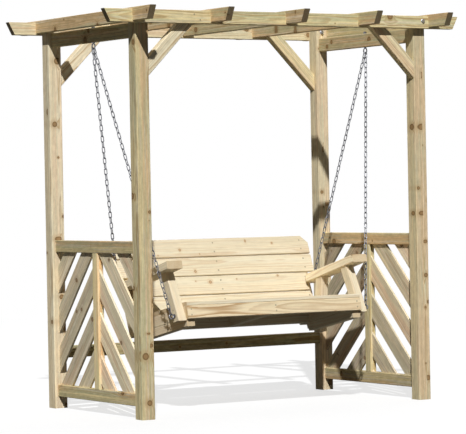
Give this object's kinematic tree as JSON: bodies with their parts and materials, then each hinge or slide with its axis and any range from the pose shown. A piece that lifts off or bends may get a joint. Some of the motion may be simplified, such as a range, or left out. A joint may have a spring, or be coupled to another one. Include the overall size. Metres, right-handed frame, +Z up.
{
  "type": "garden swing seat",
  "caption": "Slatted timber bench seat hung on chains inside a pergola-topped softwood frame with herringbone side panels.",
  "frame": {"origin": "on the ground, at the middle of the rectangle made by the four posts", "axes": "+X along the seat to the right-hand post seen from the front, +Y from the open front to the rear, +Z up"},
  "size_m": [2.066, 1.368, 1.962],
  "materials": {
    "treated_timber": "sawn, pressure-treated, green-brown, matt",
    "bench_timber": "planed, pale pine, matt",
    "zinc": "bright zinc plate"
  },
  "bodies": {
    "frame": {"post_front_left": "treated_timber", "post_front_right": "treated_timber", "post_rear_left": "treated_timber", "post_rear_right": "treated_timber", "beam_front": "treated_timber", "beam_rear": "treated_timber", "rafter_1": "treated_timber", "rafter_2": "treated_timber", "rafter_3": "treated_timber", "rafter_4": "treated_timber", "rafter_5": "treated_timber", "side_beam_left": "treated_timber", "side_beam_right": "treated_timber", "brace_front_left": "treated_timber", "brace_front_right": "treated_timber", "brace_rear_left": "treated_timber", "brace_rear_right": "treated_timber", "rear_stretcher": "treated_timber", "panel_left_top_rail": "treated_timber", "panel_left_bottom_rail": "treated_timber", "panel_left_muntin": "treated_timber", "panel_left_slats": "treated_timber", "panel_right_top_rail": "treated_timber", "panel_right_bottom_rail": "treated_timber", "panel_right_muntin": "treated_timber", "panel_right_slats": "treated_timber", "beam_bolts": "zinc", "hanger_left": "zinc", "hanger_right": "zinc"},
    "bench": {"front_board": "bench_timber", "seat_slats": "bench_timber", "side_rail_left": "bench_timber", "side_rail_right": "bench_timber", "lower_rail_left": "bench_timber", "lower_rail_right": "bench_timber", "rear_cross_rail": "bench_timber", "seat_bearer": "bench_timber", "back_slats_long": "bench_timber", "back_slats_short": "bench_timber", "upright_left": "bench_timber", "upright_right": "bench_timber", "upright_middle": "bench_timber", "arm_left": "bench_timber", "arm_right": "bench_timber", "arm_post_front_left": "bench_timber", "arm_post_front_right": "bench_timber", "arm_post_rear_left": "bench_timber", "arm_post_rear_right": "bench_timber", "seat_eye_bolts": "zinc", "chain_front_left": "zinc", "chain_front_right": "zinc", "chain_rear_left": "zinc", "chain_rear_right": "zinc"}
  },
  "joints": [
    {"name": "bench_swing", "type": "hinge", "parent": "frame", "child": "bench", "pos_m": [0, 0, 1.8065], "axis": [1, 0, 0], "range_deg": [-25, 25]}
  ]
}
